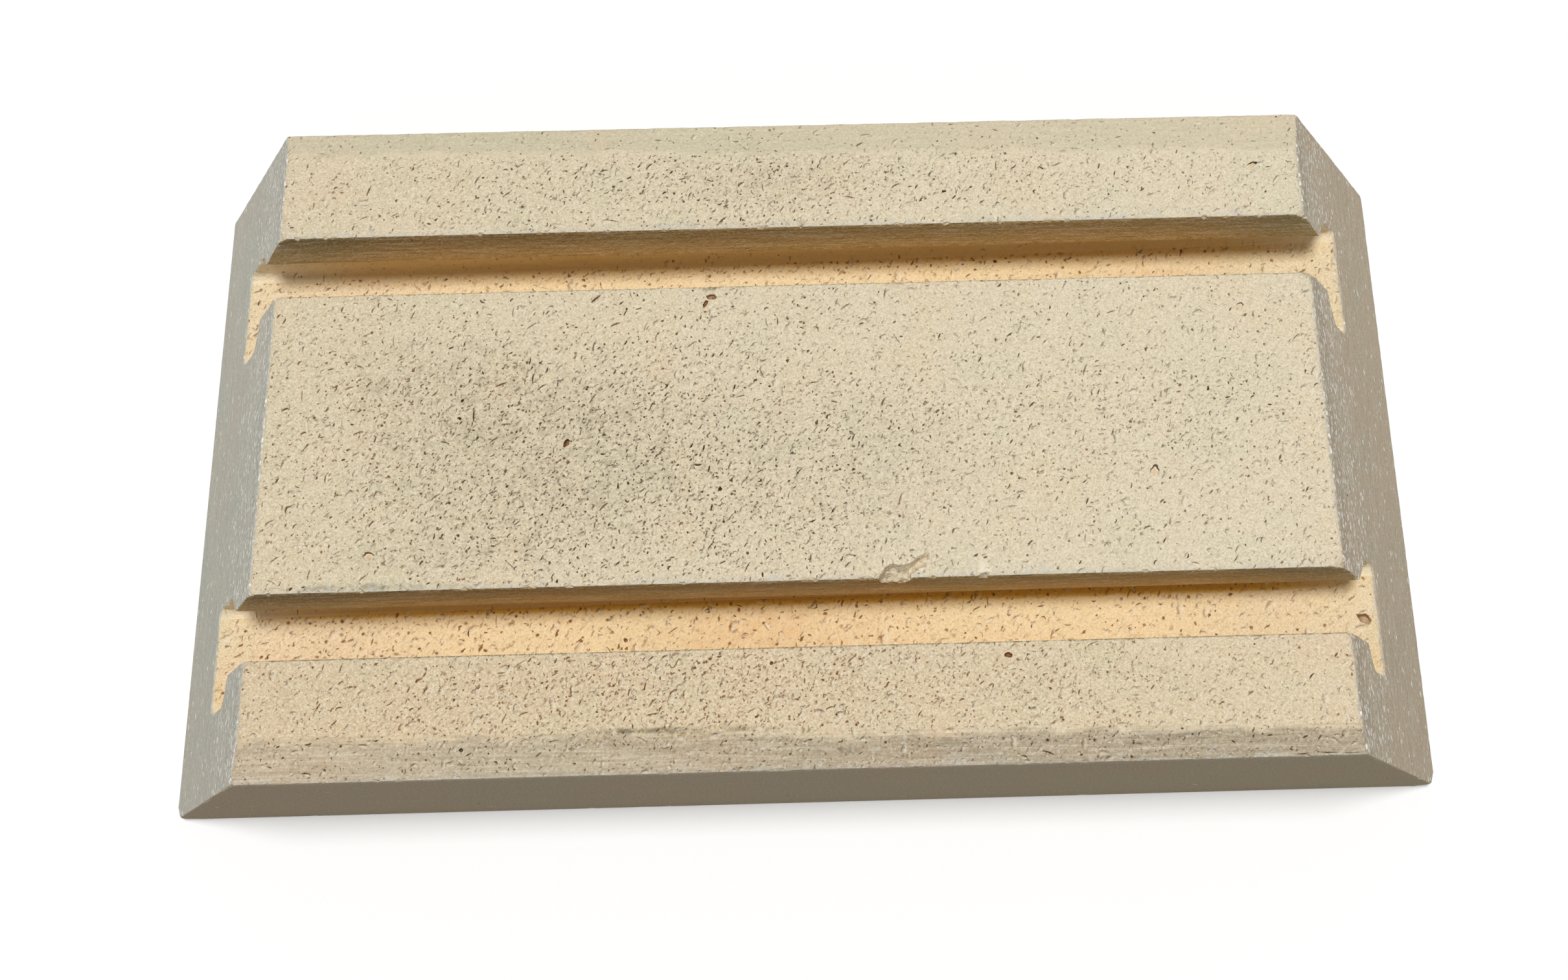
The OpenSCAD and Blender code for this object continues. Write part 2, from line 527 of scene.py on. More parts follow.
def namedMarks(kind, flat, outline):
    # the pits and cracks that belong on this face
    for face, (x, y), length, width, turn, depth, finish in bigPits:
        z = brick["thickness"]
        if face == "frontBevel":
            inward = brick["frontBevel"][x > 0] - brick["course"] / 2 - y
            z -= math.tan(math.radians(brick["bevelFall"])) * inward
        spot, angle = flat(Vector((x, y, z))), math.radians(turn)
        if face != kind or room(spot, outline) < 0:
            continue
        if finish == "crack":
            yield slitMark(spot, length, width, angle, depth, 0.02)
        else:
            yield pitMark(spot, length, width, angle, depth, finish)


def spotted(patches, point):
    total = 0.0
    for (x, y), (rx, ry), strength in patches:
        away = math.hypot((point.x - x) / rx, (point.y - y) / ry)
        total += strength * smooth(1.15 - away)
    return min(total, 1.0)


def chanceOf(kind, shape, spot, space):
    # marks come in patches, with more of them in the dirt and fewer to the right
    chance = 0.62 + 0.5 * noise.noise(Vector((spot[0] * 0.06, spot[1] * 0.06, 3.0 + len(kind))))
    if kind == "hot":
        at = space(*spot)
        chance = 0.56 * chance + 0.25 * spotted(grime, at) + spotted(busy, at)
        toRight = smooth((at.x + 10) / 70)
        chance *= 0.5 + 0.9 * toRight if shape == "ring" else 1 - 0.65 * toRight
    if kind == "floor" and shape != "ring":
        chance *= 1 - 0.75 * smooth((spot[0] - 15) / 60)
    return chance


def brokenBoxes(kind):
    # the boxes round the chips, knocks and broken corners that reach this kind of face
    boxes, band = [], (brick["thickness"] - weave["chipBand"], brick["thickness"])
    if kind in ("hot", "wall", "end", "frontBevel"):
        boxes += [(*spanOf(chip["outline"]), band) for chip in chips]
        boxes += [((x - r, x + r), (y - r, y + r), band) for (x, y), r, _ in knocks]
    if kind in ("bed", "end", "cold"):
        for side, size in brokenCorners:
            x, y = side[0] * brick["coldLength"] / 2, side[1] * brick["course"] / 2
            boxes.append(((x - size[0], x + size[0]), (y - size[1], y + size[1]), (0, 3)))
    return boxes


def scattered(spanX, spanY, step, loose):
    # a grid of points, each shaken off its place
    for i in range(int((spanX[1] - spanX[0]) / step) + 1):
        for j in range(int((spanY[1] - spanY[0]) / step) + 1):
            yield spanX[0] + (i + between(loose)) * step, spanY[0] + (j + between(loose)) * step


def cellsOf(x, y, radius):
    cell = weave["cell"]
    for i in range(math.floor((x - radius) / cell), math.floor((x + radius) / cell) + 1):
        for j in range(math.floor((y - radius) / cell), math.floor((y + radius) / cell) + 1):
            yield i, j


def trimmed(faces, cameFrom, count):
    # peel off the triangles outside the rim, from the outside in as far as the rim's own edges
    made = {min(source): i for i, source in enumerate(cameFrom) if source}
    rimEdges = {frozenset((made[a], made[b])) for a, b in loop(count)}
    beside = {}
    for i, face in enumerate(faces):
        for k in range(3):
            beside.setdefault(frozenset((face[k], face[k - 1])), set()).add(i)
    gone = set()
    edge = [e for e, owners in beside.items() if len(owners) == 1 and e not in rimEdges]
    while edge:
        for i in list(beside[edge.pop()]):
            gone.add(i)
            for k in range(3):
                other = frozenset((faces[i][k], faces[i][k - 1]))
                beside[other].discard(i)
                if other not in rimEdges and beside[other]:
                    edge.append(other)
    return [face for i, face in enumerate(faces) if i not in gone]


def addFace(kind, rim, flat, space, normal):
    # rim: the shared points round it; flat and space turn points to the face's own plane and back
    points = [Vector(flat(skin["points"][i])) for i in rim]
    for i in rim:
        skin["normals"][i].append(normal)
    count = len(points)
    outline = []
    for i, p in enumerate(points):
        a, b = points[i - 1], points[(i + 1) % count]
        if abs((p - a).normalized().cross((b - p).normalized())) > 0.02:
            outline.append((p.x, p.y))
    spanX, spanY = spanOf(outline)
    paint = [(0.0, 0.0, 0.0)] * count  # depth, tone and rub of each point
    edges, taken = loop(count), set()

    def free(x, y, radius):
        return not any(c in taken for c in cellsOf(x, y, radius))

    def addPoint(x, y, depth=0.0, tone=0.0, rubAndSheen=0.0):
        points.append(Vector((x, y)))
        paint.append((depth, tone, rubAndSheen))

    def addMark(mark, force=False):
        if any(room(c[:2], outline) < c[2] + weave["edgeRoom"] for c in mark["cover"]):
            return
        if not force and not all(free(*c) for c in mark["cover"]):
            return
        for c in mark["cover"]:
            taken.update(cellsOf(*c))
        edges.extend(loop(len(mark["rim"]), len(points)))
        for p in mark["rim"]:
            addPoint(*p)
        inner = len(points)
        edges.extend((inner + a, inner + b) for a, b in mark["edges"])
        for p in mark["deep"]:
            addPoint(*p)

    # the named marks first, then the scattered ones
    for mark in namedMarks(kind, flat, outline):
        addMark(mark, force=True)
    look = {**plainMarks, **marks[kind]}
    area = 0.5 * abs(sum(outline[i - 1][0] * b[1] - b[0] * outline[i - 1][1] for i, b in enumerate(outline)))
    for shape in ("pit", "ring", "scoop", "slit", "dot"):
        for _ in range(round(area * look[shape])):
            spot = (between(spanX), between(spanY))
            if dice.random() < chanceOf(kind, shape, spot, space):
                addMark(someMark(shape, spot, look))

    # a guard row beside every arris, points in the chips and open points between the marks
    guard = weave["guard"]
    if min(spanX[1] - spanX[0], spanY[1] - spanY[0]) > 3 * guard:
        for i in range(count):
            p, away = points[i], (points[(i + 1) % count] - points[i - 1]).normalized()
            for side in (guard, -guard):
                x, y = p.x - away.y * side, p.y + away.x * side
                if room((x, y), outline) > 0.9 * guard and free(x, y, 0.1):
                    addPoint(x, y, rubAndSheen=max(skin["rubAndSheen"][rim[i]], 0) * dice.uniform(0.3, 1))
                    taken.update(cellsOf(x, y, 0.02))
    for box in brokenBoxes(kind):
        alongX, alongY = spanOf([flat(Vector((x, y, z))) for x in box[0] for y in box[1] for z in box[2]])
        alongX = (alongX[0] - 0.4, alongX[1] + 0.4)
        alongY = (max(alongY[0] - 0.4, spanY[0]), min(alongY[1] + 0.4, spanY[1]))
        for x, y in scattered(alongX, alongY, weave["chipStep"], (-0.3, 0.3)):
            if room((x, y), outline) > 0.2 and free(x, y, 0.03) and nearChip(space(x, y), 0.4):
                addPoint(x, y)
                taken.update(cellsOf(x, y, 0.02))
    for x, y in scattered(spanX, spanY, weave["spacing"], (0.1, 0.9)):
        if room((x, y), outline) > 0.9 and free(x, y, 0.25):
            addPoint(x, y)

    made, _, faces, cameFrom, _, _ = delaunay_2d_cdt(points, edges, [], 1, 1e-5, True)
    index = []
    for p, source in zip(made, cameFrom):
        own = min(source) if source else -1
        if 0 <= own < count:
            index.append(rim[own])
        else:
            depth, tone, rubAndSheen = paint[own] if own >= 0 else (0.0, 0.0, 0.0)
            index.append(newPoint(space(p.x, p.y) - normal * depth, tone, rubAndSheen=rubAndSheen))
    column = 0 if sheet["heights"][0] <= sheet["heights"][1] else 1
    shiftX, shiftY = column * sheet["column"] - spanX[0], sheet["heights"][column] - spanY[0]
    sheet["heights"][column] += spanY[1] - spanY[0] + sheet["gap"]
    here = space(0, 0)
    seen = (space(1, 0) - here).cross(space(0, 1) - here).dot(normal) > 0  # the drawing faces out
    for face in trimmed(faces, cameFrom, count):
        a, b, c = [made[i] for i in face]
        if ((b - a).cross(c - a) > 0) != seen:
            face = face[::-1]
        skin["faces"].append([index[i] for i in face])
        skin["kinds"].append(kinds.index(kind))
        skin["uvs"].append([(made[i].x + shiftX, made[i].y + shiftY) for i in face])


def addLongFace(line, nextLine, rim):
    across = (lineAt(nextLine, 0) - lineAt(line, 0)).normalized()

    def flat(p):
        return p.x, (p - lineAt(line, p.x)).dot(across)

    def space(x, y):
        return lineAt(line, x) + across * y

    addFace(line["kind"], rim, flat, space, Vector((0, -across.z, across.y)))


def addEndFace(side, rim):
    lean = math.radians(brick["mitre"])

    def flat(p):
        return p.y, p.z / math.cos(lean)

    def space(x, y):
        z = y * math.cos(lean)
        return Vector((side * endX(z), x, z))

    addFace("end", rim, flat, space, Vector((side * math.cos(lean), 0, math.sin(lean))))


def layFaces():
    addNicks()
    corners = sectionCorners()
    total = len(corners)
    ends = {}
    for side in (-1, 1):
        for i, line in enumerate(corners):
            worn = max(line["wear"], arrisWear["end"])
            ends[side, i] = newPoint(endOf(line, side), wear=worn, rubAndSheen=line["rubAndSheen"])
    long, down = [], {}
    for i, line in enumerate(corners):
        step = "fineStep" if line["fine"] else "coarseStep" if line["wear"] else "hiddenStep"
        long.append(pointsAlong(ends[-1, i], ends[1, i], weave[step], line["wear"], line["rubAndSheen"]))
        step = "fineStep" if line["kind"] in ("wall", "hot") else "endStep"
        for side in (-1, 1):
            after = ends[side, (i + 1) % total]
            down[side, i] = pointsAlong(ends[side, i], after, weave[step], arrisWear["end"])
    for i, line in enumerate(corners):
        after = (i + 1) % total
        rim = long[i] + down[1, i][1:] + long[after][::-1][1:] + down[-1, i][::-1][1:-1]
        addLongFace(line, corners[after], rim)
    for side in (-1, 1):
        rim = []
        for i in range(total):
            rim += down[side, i][:-1]
        addEndFace(side, rim[::-1])
    print("faces laid:", len(skin["faces"]), "triangles")


def wearAt(point, amount):
    slow = 0.5 + 0.5 * noise.noise(point * 0.22)
    quick = 0.5 + 0.5 * noise.noise(point * 1.5 + Vector((5, 1, 9)))
    nick = max(0.0, noise.noise(point * 0.9 + Vector((2, 7, 3))) - 0.25)
    return min(amount * (0.15 + 0.5 * slow + 0.9 * quick + 2.5 * nick), weave["guard"] * 0.85)


def chipAt(point):
    # how far down a point goes, how freshly broken the clay is there, and how dark or pale it is painted:
    # painted shade by the back rim of a chip and a painted highlight along its lip
    top = brick["thickness"]
    if point.z < top - chipReach:
        return 0.0, 0.0, 0.0
    drop, fresh, tone = 0.0, 0.0, 0.0
    rough = 1 + 0.5 * noise.noise(point * 1.4 + Vector((9, 2, 4))) + 0.25 * noise.noise(point * 3.1)
    for chip in chips:
        (left, right), (front, back) = spanOf(chip["outline"])
        if not (left - 0.5 < point.x < right + 0.5 and front < point.y < back + 0.5):
            continue
        inside = room(point[:2], chip["outline"])
        if inside > 0:
            toFront = smooth((chip["back"] - point.y) / (chip["back"] - front - 0.6))
            drop = max(drop, chip["depth"] * (0.35 + 0.65 * toFront) * smooth(inside / 0.28) * rough)
            fresh = max(fresh, smooth(inside / 0.2))
            if chip["lip"] and point.z > top - 0.5:
                # painted shade along the chip's back rim
                tone = 0.42 * smooth(1.5 - inside / 0.3) * smooth(1.6 - 1.6 * toFront)
        # a painted highlight along the lip
        for a, b in zip(chip["lip"], chip["lip"][1:]):
            if point.z > top - 0.5 and toLine(point.x, point.y, a, b) < 0.2:
                tone, fresh = -1.0, 0.6
    for (x, y), around, depth in knocks:
        near = 1 - math.hypot(point.x - x, point.y - y) / around
        near += 0.15 * noise.noise(point * 1.7)
        if near > 0:
            drop = max(drop, depth * smooth(near) * rough)
            fresh = max(fresh, 0.5 * smooth(near * 3))
    left = 1 - (top - point.z) / chipReach
    return drop * left, fresh * smooth((point.z - top + 0.5) / 0.4), tone


# Painted shade under the lips, brown: how far down it starts, how far out in the half mouth, and how soon it
# is full
lipShade = {"below": 7.5, "inset": 0.7, "reach": 2.5}


def lipShadeAt(point):
    if point.z > brick["thickness"] - lipShade["below"]:
        return 0.0
    out = min(abs(point.y - y) for y in brick["slotMiddles"])
    return smooth((out - lipShade["inset"] * brick["mouthWidth"] / 2) / lipShade["reach"])


def makeBrick():
    # tan is the painted shade under the lips
    fresh, tan = [], [lipShadeAt(point) for point in skin["points"]]
    for i, rest in enumerate(skin["points"]):
        move = Vector()
        if skin["wear"][i]:
            move -= sum(skin["normals"][i], Vector()) * wearAt(rest, skin["wear"][i])
        drop, broken, tone = chipAt(rest)
        fresh.append(broken)
        # the chips' painted shade and painted highlight go into the pit tone
        if tone:
            skin["pit"][i] = tone
        spot = rest + move - Vector((0, 0, drop))
        for broken in brokenCorners:
            out, slope = beyondBreak(spot, *broken)
            if out > 0:
                spot -= slope * (out + 0.25 * min(out, 1.0) * noise.noise(rest * 1.3))
        skin["points"][i] = spot
    mesh = bpy.data.meshes.new("firedBrick")
    mesh.from_pydata([p * mm for p in skin["points"]], [], skin["faces"])
    mesh.polygons.foreach_set("material_index", skin["kinds"])
    unwrap = mesh.uv_layers.new(name="OFBake")
    span = 2 * sheet["column"]
    unwrap.uv.foreach_set("vector", [c / span for face in skin["uvs"] for spot in face for c in spot])
    # tan carries the painted shade under the lips
    paint = {"pit": skin["pit"], "rubAndSheen": skin["rubAndSheen"], "fresh": fresh, "tan": tan}
    for name, values in paint.items():
        mesh.attributes.new(name, "FLOAT", "POINT").data.foreach_set("value", values)
    mesh.shade_smooth()
    mesh.set_sharp_from_angle(angle=math.radians(weave["crisp"]))
    piece = bpy.data.objects.new("firedBrick", mesh)
    bpy.context.collection.objects.link(piece)
    even = piece.modifiers.new("even shading", "WEIGHTED_NORMAL")
    even.keep_sharp = True
    print("brick meshed:", len(mesh.polygons), "triangles")
    return piece


def rgb(r, g, b):
    # a colour as mixed on a swatch, turned to scene linear
    out = []
    for c in (r, g, b):
        c /= 255
        out.append(c / 12.92 if c <= 0.04045 else ((c + 0.055) / 1.055) ** 2.4)
    return (*out, 1)


clay = {
    "roughness": 0.93,
    "specular": 0.18,
    "cool": (0.965, 0.995, 0.985, 1),  # broad patches multiply the clay by these
    "warm": (1.015, 0.985, 0.965, 1),
    "front": (0.985, 0.93, 0.875, 1),  # the front bar came out yellower
    "shade": (0.84, 0.83, 0.80, 1),
    "wallEnds": (0.74, 0.80, 0.92, 1),
    # painted shade near the top of the end faces beside the bars
    "leftTopShade": (0.93, 0.935, 0.95, 1),  # the end faces beside the bars
    "rightTopShade": (0.84, 0.84, 0.845, 1),
    "endFront": (0.93, 0.925, 0.925, 1),
    "fresh": rgb(224, 210, 182),
    "rubbedAndSheen": rgb(206, 203, 192),
    "soiled": rgb(114, 108, 82),
    "fleck": rgb(250, 245, 234),
    "soot": rgb(86, 64, 32),
    "rust": rgb(146, 92, 46),
    "pit": rgb(66, 48, 28),
    "pale": rgb(246, 236, 212),
    "blush": rgb(226, 200, 162),
    # tan and the darker shadow strip below it are painted shade under the lips
    "tan": rgb(238, 204, 132),
    "lipShadow": rgb(222, 176, 60),
    "bloom": rgb(226, 178, 122),
    "lipShadowStrength": (0.8, 0.15),  # how strongly, in the front slot and the back slot
    "patchSize": 16.0,  # mm
    "mottleSize": 0.45,
    "sandSize": 0.27,
    "hairSize": 0.45,
    "rustSize": 11.0,  # patches where the small marks are rusty
    "crowdSize": 7.0,  # patches where they lie close
    "fraySize": 1.8,  # breaks up the edges of the dirt
    "wornSize": 0.8,  # breaks up the worn arrises
    "crumbSize": 0.7,  # breaks up the rim at the right end
}

# How deep each kind of relief goes in the finish, in mm, and how large the clay's own is
relief = {"grain": 0.2, "lumps": 0.38, "hairs": 0.16, "lines": 0.12, "flecks": 0.1,
          "grainSize": 0.35, "lumpSize": 1.3}

# Marks too small for the mesh, one to a cell of so many millimetres
specks = {"cell": 0.78, "length": 0.66, "width": 0.52, "turn": 40, "spread": 80, "bend": 0.1, "shift": 0}
dashes = {"cell": 1.4, "length": 1.4, "width": 0.34, "turn": 54, "spread": 28, "bend": 0.5, "shift": 37}
dimples = {"cell": 1.4, "length": 0.95, "width": 0.75, "turn": 25, "spread": 55, "bend": 0.05, "shift": 71}
curls = {"cell": 2.8, "length": 2.4, "width": 1.2, "turn": 45, "spread": 50, "bend": 0.2, "shift": 53}
flecks = {"cell": 0.95, "length": 1.8, "width": 0.8, "turn": 6, "spread": 14, "bend": 0.1, "shift": 19}

# The finish of a plain face, and below it what is different on each kind of face
plainLook = {
    "marks": 0.0,  # how thickly the small marks lie
    "grow": 1.0,  # how large they are
    "rust": 0.3,  # how many of them are rusty
    "streak": 0.0,  # how strong the drag lines are
    "lineSize": 0.7,  # how far apart the lines are, in mm
    "stretch": (0.05, 1, 1),  # the lines run along the axis with the small number
    "flecks": 0.0,
    # worn arrises go pale with wear and a painted highlight
    "rubbedAndSheen": 0.0,  # how far worn arrises go pale
    "grain": 1.0,  # depth of the grain
}
looks = {
    "hot": {"left": rgb(225, 209, 178), "right": rgb(231, 217, 188), "marks": 1.0, "rust": 0.5,
            "rubbedAndSheen": 1.0},
    "frontBevel": {"left": rgb(203, 190, 166), "right": rgb(184, 172, 150), "marks": 1.5, "rust": 0.4,
                   "streak": 1.8, "lineSize": 0.45, "stretch": (0.04, 1, 1), "flecks": 0.25, "rubbedAndSheen": 1.0,
                   "grain": 0.8},
    "backBevel": {"left": rgb(212, 200, 171), "right": rgb(219, 206, 177), "marks": 0.5, "streak": 0.5,
                  "lineSize": 0.45, "stretch": (0.04, 1, 1), "rubbedAndSheen": 1.0, "grain": 0.8},
    # the walls are darker and browner than the rest of the clay, painted shade, paler at the foot, painted
    # bounce light, and greyer towards the ends
    "wall": {"left": rgb(174, 143, 93), "right": rgb(191, 161, 109), "foot": rgb(234, 196, 130), "rust": 0.6,
             "streak": 1.7, "stretch": (0.07, 1, 1)},
    "floor": {"left": rgb(243, 218, 178), "right": rgb(240, 218, 178), "middle": rgb(250, 224, 176),
              "marks": 1.5, "grow": 1.5, "rust": 0.85, "streak": 0.1, "lineSize": 0.6, "stretch": (0.3, 1, 1),
              "grain": 0.9},
    "channel": {"left": rgb(242, 224, 192), "right": rgb(246, 230, 198), "marks": 0.3, "rust": 1.0,
                "streak": 0.5, "lineSize": 0.5, "grain": 0.8},
    "bed": {"left": rgb(192, 179, 156), "right": rgb(193, 181, 156), "streak": 0.12, "lineSize": 0.8,
            "rubbedAndSheen": 0.5, "grain": 0.6},
    "end": {"left": rgb(209, 206, 193), "right": rgb(206, 191, 167), "rust": 0.2, "streak": 1.2,
            "lineSize": 0.35, "stretch": (1, 0.05, 1), "flecks": 2.2, "grain": 0.7},
    "cold": {"left": rgb(212, 197, 169), "right": rgb(212, 197, 169), "marks": 0.3, "rust": 0.4,
             "streak": 0.3, "lineSize": 0.8, "stretch": (1, 0.05, 1), "rubbedAndSheen": 0.5},
}
wiring = {"tree": None}  # the material or world whose nodes are being laid


def addNode(kind, **values):
    nodes = wiring["tree"].nodes
    node = nodes.new(kind)
    count = len(nodes)
    node.location = (220 * (count % 12) - 2600, 800 - 300 * (count // 12))
    for name, value in values.items():
        setattr(node, name, value)
    return node


def feed(node, **values):
    # a number goes on the socket itself, anything else is joined to it
    for name, value in values.items():
        feedSocket(node.inputs[name], value)
    return node


def feedSocket(socket, value):
    if isinstance(value, bpy.types.NodeSocket):
        wiring["tree"].links.new(value, socket)
    else:
        socket.default_value = value


def calc(operation, *values, kind="ShaderNodeMath"):
    node = addNode(kind, operation=operation)
    for socket, value in zip(node.inputs, values):
        feedSocket(socket, value)
    return node.outputs[0]


def calcVector(operation, *values):
    return calc(operation, *values, kind="ShaderNodeVectorMath")


def times(a, b):
    return calc("MULTIPLY", a, b)


def plus(a, b):
    return calc("ADD", a, b)


def minus(a, b):
    return calc("SUBTRACT", a, b)


def most(a, b):
    return calc("MAXIMUM", a, b)


def least(a, b):
    return calc("MINIMUM", a, b)


def fit(value, fromLow, fromHigh, toLow=0.0, toHigh=1.0):
    span = addNode("ShaderNodeMapRange", interpolation_type="SMOOTHSTEP")
    for socket, number in zip(span.inputs, (value, fromLow, fromHigh, toLow, toHigh)):
        feedSocket(socket, number)
    return span.outputs[0]


def blend(colour, much, over, how="MIX"):
    # over is a colour, or the name of one of the clay's
    over = clay[over] if isinstance(over, str) else over
    mix = addNode("ShaderNodeMix", data_type="RGBA", blend_type=how)
    for socket, value in ((mix.inputs[0], much), (mix.inputs[6], colour), (mix.inputs[7], over)):
        feedSocket(socket, value)
    return mix.outputs[2]


def dye(colour, much, over):
    return blend(colour, much, over, "MULTIPLY")


def mottled(colour, field, dark, light):
    # darker where the field is high and paler where it is low
    colour = dye(colour, fit(field, *dark), "shade")
    return blend(colour, fit(field, *light), "pale")


def painted(name):
    return addNode("ShaderNodeAttribute", attribute_name=name).outputs["Fac"]


def split(vector):
    return feed(addNode("ShaderNodeSeparateXYZ"), Vector=vector).outputs


def scaled(place, scale, turn=0):
    # turned about Z first, then stretched
    spin = feed(addNode("ShaderNodeMapping"), Vector=place, Rotation=(0, 0, math.radians(turn)))
    pull = feed(addNode("ShaderNodeMapping"), Vector=spin.outputs[0], Scale=scale)
    return pull.outputs[0]


def cloud(place, size, detail=3.0, rough=0.55, shift=0.0):
    # noise whose lumps are about size millimetres across
    moved = feed(addNode("ShaderNodeMapping"), Vector=place, Location=(shift, shift * 0.7, shift * 1.3))
    grain = addNode("ShaderNodeTexNoise")
    feed(grain, Vector=moved.outputs[0], Scale=1 / (size * mm), Detail=detail, Roughness=rough)
    return grain.outputs[0]


def facePlane(spot):
    # the face drawn flat, in millimetres and a little crumpled so that no mark is a clean shape
    kind = spot.kind
    flat = addNode("ShaderNodeCombineXYZ")
    feed(flat, X=times(spot.y if kind == "end" else spot.x, 1 / mm))
    feed(flat, Y=times(spot.z if kind in ("wall", "bed", "end", "channel") else spot.y, 1 / mm))
    crumple = addNode("ShaderNodeTexNoise", noise_dimensions="2D")
    feed(crumple, Vector=flat.outputs[0], Scale=1.6, Detail=2)
    push = calcVector("MULTIPLY_ADD", crumple.outputs["Color"], (0.55, 0.55, 0), (-0.27, -0.27, 0))
    return calcVector("ADD", flat.outputs[0], push)


def strewn(plane, lay, share, grow=1.0):
    # one mark to a cell: how far into it this spot is, how far up across it, and how strong it is
    cell, length, width = lay["cell"] * grow, lay["length"] * grow, lay["width"] * grow
    plane = calcVector("ADD", plane, (lay["shift"], lay["shift"] * 0.7, 0))
    cells = feed(addNode("ShaderNodeTexVoronoi", voronoi_dimensions="2D"), Vector=plane, Scale=1 / cell)
    chance = feed(addNode("ShaderNodeSeparateColor"), Color=cells.outputs["Color"])
    turn, spread = math.radians(lay["turn"]), math.radians(lay["spread"])
    spin = addNode("ShaderNodeVectorRotate", rotation_type="Z_AXIS")
    feed(spin, Vector=calcVector("SUBTRACT", plane, cells.outputs["Position"]))
    feed(spin, Angle=calc("MULTIPLY_ADD", chance.outputs[0], -2 * spread, spread - turn))
    away = split(spin.outputs[0])
    size = calc("MULTIPLY_ADD", calc("POWER", chance.outputs[1], 1.6), 0.7, 0.35)
    along = calc("DIVIDE", away[0], times(size, length / 2))
    across = calc("DIVIDE", away[1], times(size, width / 2))
    curl = minus(calc("FRACT", times(chance.outputs[0], 7.13)), 0.5)
    across = plus(across, times(times(along, along), times(curl, 2 * lay["bend"])))
    reach = calc("SQRT", plus(times(along, along), times(across, across)))
    inside = times(fit(reach, 1.0, 0.45), calc("LESS_THAN", chance.outputs[2], share))
    luck = calc("FRACT", times(chance.outputs[1], 5.7))
    strength = fit(calc("POWER", luck, 1.75), 0, 1, 0.15, 1)  # most are faint
    return inside, across, strength


def smudges(place, patches):
    # how deep in one of the patches this is
    total = 0.0
    wisp = feed(addNode("ShaderNodeTexNoise"), Vector=place, Scale=300, Detail=5, Roughness=0.65)
    ragged = calcVector("MULTIPLY_ADD", wisp.outputs["Color"], (1.6, 1.6, 0), (-0.8, -0.8, 0))
    for (x, y), (acrossX, acrossY), strength in patches:
        away = calcVector("SUBTRACT", place, (x * mm, y * mm, 0))
        away = calcVector("MULTIPLY", away, (1 / (acrossX * mm), 1 / (acrossY * mm), 0))
        length = addNode("ShaderNodeVectorMath", operation="LENGTH")
        feedSocket(length.inputs[0], calcVector("ADD", away, ragged))
        total = plus(total, fit(length.outputs["Value"], 1.15, 0.15, 0.0, strength))
    return least(total, 1.0)


def spotOn(kind):
    # what the finish has to know about a spot on this kind of face
    place = addNode("ShaderNodeTexCoord").outputs["Object"]
    x, y, z = split(place)
    half = brick["hotLength"] / 2 * mm
    spot = SimpleNamespace(kind=kind, look={**plainLook, **looks[kind]}, place=place, x=x, y=y, z=z)
    spot.side = fit(x, -half, half)
    spot.out = calc("ABSOLUTE", x)
    spot.front = fit(y, -0.028, -0.042)
    spot.soft = cloud(place, clay["fraySize"], detail=4, rough=0.65, shift=0.2)
    spot.bold = fit(x, -0.01, 0.03, 1.22, 0.95) if kind == "hot" else 1.0
    spot.dirt = smudges(place, grime) if kind in ("hot", "frontBevel", "backBevel") else 0.0
    rust = 2 * spot.look["rust"]
    patches = cloud(place, clay["rustSize"], detail=1, shift=0.8)
    rusty = fit(patches, 0.5, 0.68, max(0, rust - 1), min(1, rust))
    if kind == "hot":
        rusty = most(most(rusty, times(spot.front, 0.9)), fit(x, -0.045, -0.075, 0.0, 0.75))
    spot.rusty = rusty
    # the colour of the small dark marks, also used as the painted shade in the hollows
    spot.ink = blend(clay["soot"], rusty, "rust")
    return spot


def groundColour(spot):
    # left to right and front to back
    kind, look, place, z, top = spot.kind, spot.look, spot.place, spot.z, brick["thickness"] * mm
    colour = blend(look["left"], spot.side, look["right"])
    if kind == "floor":
        colour = blend(colour, fit(spot.out, 0.085, 0.055), look["middle"])
    if kind == "wall":
        # paler towards the foot, painted bounce light, and greyer and darker towards the ends
        lipFoot = top - slots[0]["lips"][1][0] * mm
        half = brick["hotLength"] / 2 * mm
        colour = blend(colour, fit(z, top, lipFoot), look["foot"])
        colour = dye(colour, fit(spot.out, 0.7 * half, 1.02 * half), "wallEnds")
    if kind == "end":
        # painted shade near the top, and darker towards the front
        colour = dye(colour, fit(z, top - 0.007, top - 0.001), blend(clay["leftTopShade"], spot.side, "rightTopShade"))
        colour = dye(colour, fit(spot.y, 0.04, -0.055), "endFront")
    if "Bevel" in kind:
        hot = blend(looks["hot"]["left"], spot.side, looks["hot"]["right"])
        wavy = calc("MULTIPLY_ADD", cloud(place, 6.0, detail=4, shift=0.1), 0.0008, -0.0004)
        colour = blend(hot, fit(plus(z, wavy), top - 0.00002, top - 0.0003), colour)
    if kind not in ("end", "cold"):
        colour = dye(colour, spot.front, "front")

    # broad patches, fine mottle and sand
    patches = cloud(place, clay["patchSize"], detail=2)
    colour = dye(dye(colour, fit(patches, 0.5, 0.7), "cool"), fit(patches, 0.5, 0.3), "warm")
    mottle = cloud(place, clay["mottleSize"], detail=4, rough=0.7)
    colour = mottled(colour, mottle, (0.44, 0.68, 0.0, 0.55), (0.50, 0.30, 0.0, 0.40))
    if kind in ("hot", "floor", "frontBevel", "backBevel"):
        sand = cloud(place, clay["sandSize"], detail=1, shift=0.15)
        much = 0.3 if "Bevel" in kind else 1.0
        colour = mottled(colour, sand, (0.50, 0.70, 0.0, much), (0.48, 0.30, 0.0, 0.6 * much))
    return colour


